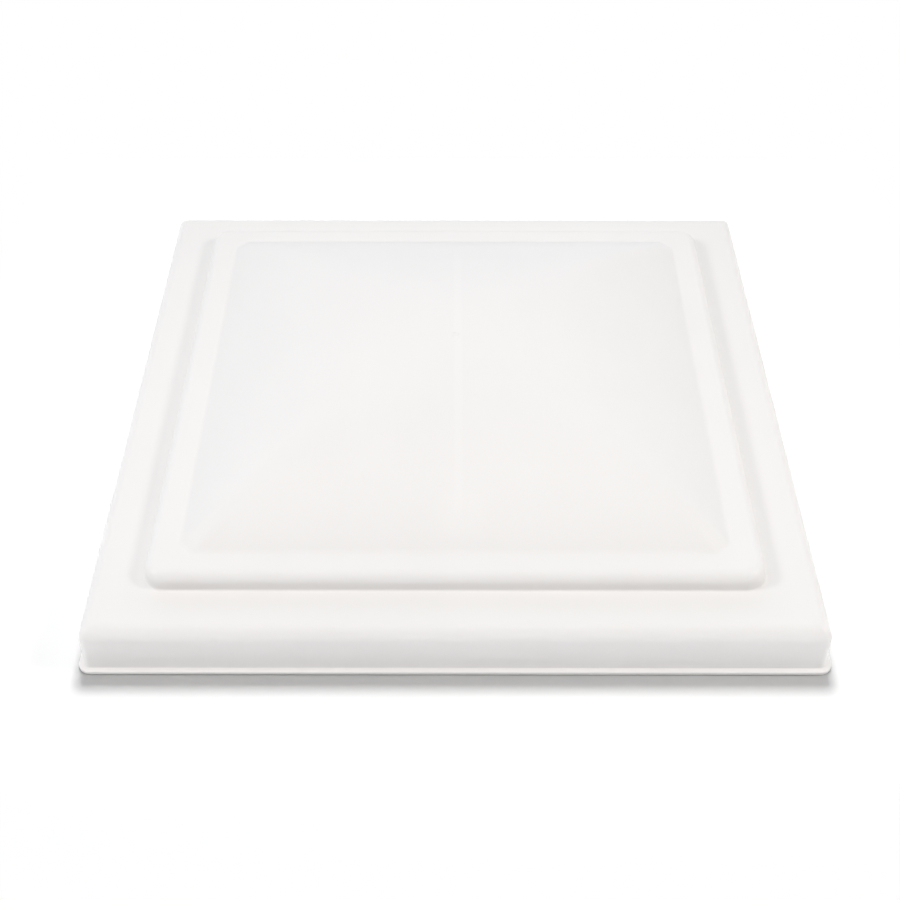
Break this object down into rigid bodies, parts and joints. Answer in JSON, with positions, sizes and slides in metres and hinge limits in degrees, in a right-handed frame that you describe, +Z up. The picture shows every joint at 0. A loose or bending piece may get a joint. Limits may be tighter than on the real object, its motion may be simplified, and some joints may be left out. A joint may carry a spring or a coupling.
{
  "type": "roof vent lid",
  "caption": "Square domed roof vent lid with a rear hinge, a lift-arm track and slide shoe under the dome, and foam seals under the deck.",
  "frame": {"origin": "middle of the lid in plan, on the plane of the lip's underside", "axes": "+Z up, +Y towards the hinge at the rear, +X to the right seen from the front"},
  "size_m": [0.388, 0.388, 0.073],
  "materials": {
    "white_moulding": "satin moulded polypropylene",
    "foam": "closed-cell foam strip",
    "zinc_steel": "zinc-plated sheet",
    "bright_steel": "bright plated",
    "rivet_aluminium": "bright",
    "nylon": "moulded natural nylon"
  },
  "bodies": {
    "base_side": {"hinge_base_leaf": "zinc_steel"},
    "lid": {"lid_shell": "white_moulding", "seal_front": "foam", "seal_rear": "foam", "seal_left": "foam", "seal_right": "foam", "hinge_lid_leaf": "zinc_steel", "hinge_pin": "bright_steel", "hinge_rivets": "rivet_aluminium", "lift_track": "zinc_steel", "track_screws": "bright_steel"},
    "shoe": {"slide_shoe": "nylon", "arm_stud": "bright_steel"}
  },
  "joints": [
    {"name": "lid_hinge", "type": "hinge", "parent": "base_side", "child": "lid", "pos_m": [0, 0.1856, 0.003], "axis": [-1, 0, 0], "range_deg": [0, 80]},
    {"name": "shoe_slide", "type": "slide", "parent": "lid", "child": "shoe", "axis": [0, 1, 0], "range_m": [-0.085, 0.085]}
  ]
}
